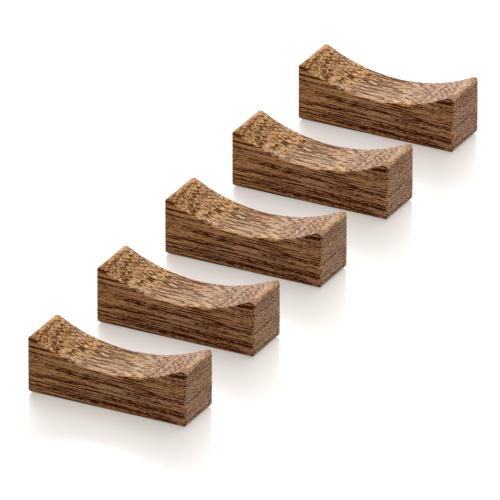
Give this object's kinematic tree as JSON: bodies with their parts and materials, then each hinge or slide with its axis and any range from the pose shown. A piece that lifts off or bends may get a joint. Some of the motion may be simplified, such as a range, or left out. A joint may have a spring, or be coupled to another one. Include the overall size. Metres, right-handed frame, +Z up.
{
  "type": "chopstick rest",
  "caption": "Row of loose solid wooden chopstick rests, each a small block with a dished top that carries the tips of a pair of chopsticks.",
  "frame": {"origin": "on the table, under the middle of the row", "axes": "+X along the length and grain of each rest, +Y along the row from its near end to its far end, which is also the way that chopsticks lie, +Z up"},
  "size_m": [0.0772, 0.25, 0.021],
  "materials": {
    "wood": "sanded smooth and lightly oiled, dark fibre bundles in a tan ground"
  },
  "bodies": {
    "rest_1": {"rest_1": "wood"},
    "rest_2": {"rest_2": "wood"},
    "rest_3": {"rest_3": "wood"},
    "rest_4": {"rest_4": "wood"},
    "rest_5": {"rest_5": "wood"}
  },
  "joints": [
    {"name": "rest_1_lift", "type": "slide", "parent": "rest_3", "child": "rest_1", "axis": [0, 0, 1], "range_m": [0, 0.04]},
    {"name": "rest_2_lift", "type": "slide", "parent": "rest_3", "child": "rest_2", "axis": [0, 0, 1], "range_m": [0, 0.04]},
    {"name": "rest_4_lift", "type": "slide", "parent": "rest_3", "child": "rest_4", "axis": [0, 0, 1], "range_m": [0, 0.04]},
    {"name": "rest_5_lift", "type": "slide", "parent": "rest_3", "child": "rest_5", "axis": [0, 0, 1], "range_m": [0, 0.04]}
  ]
}
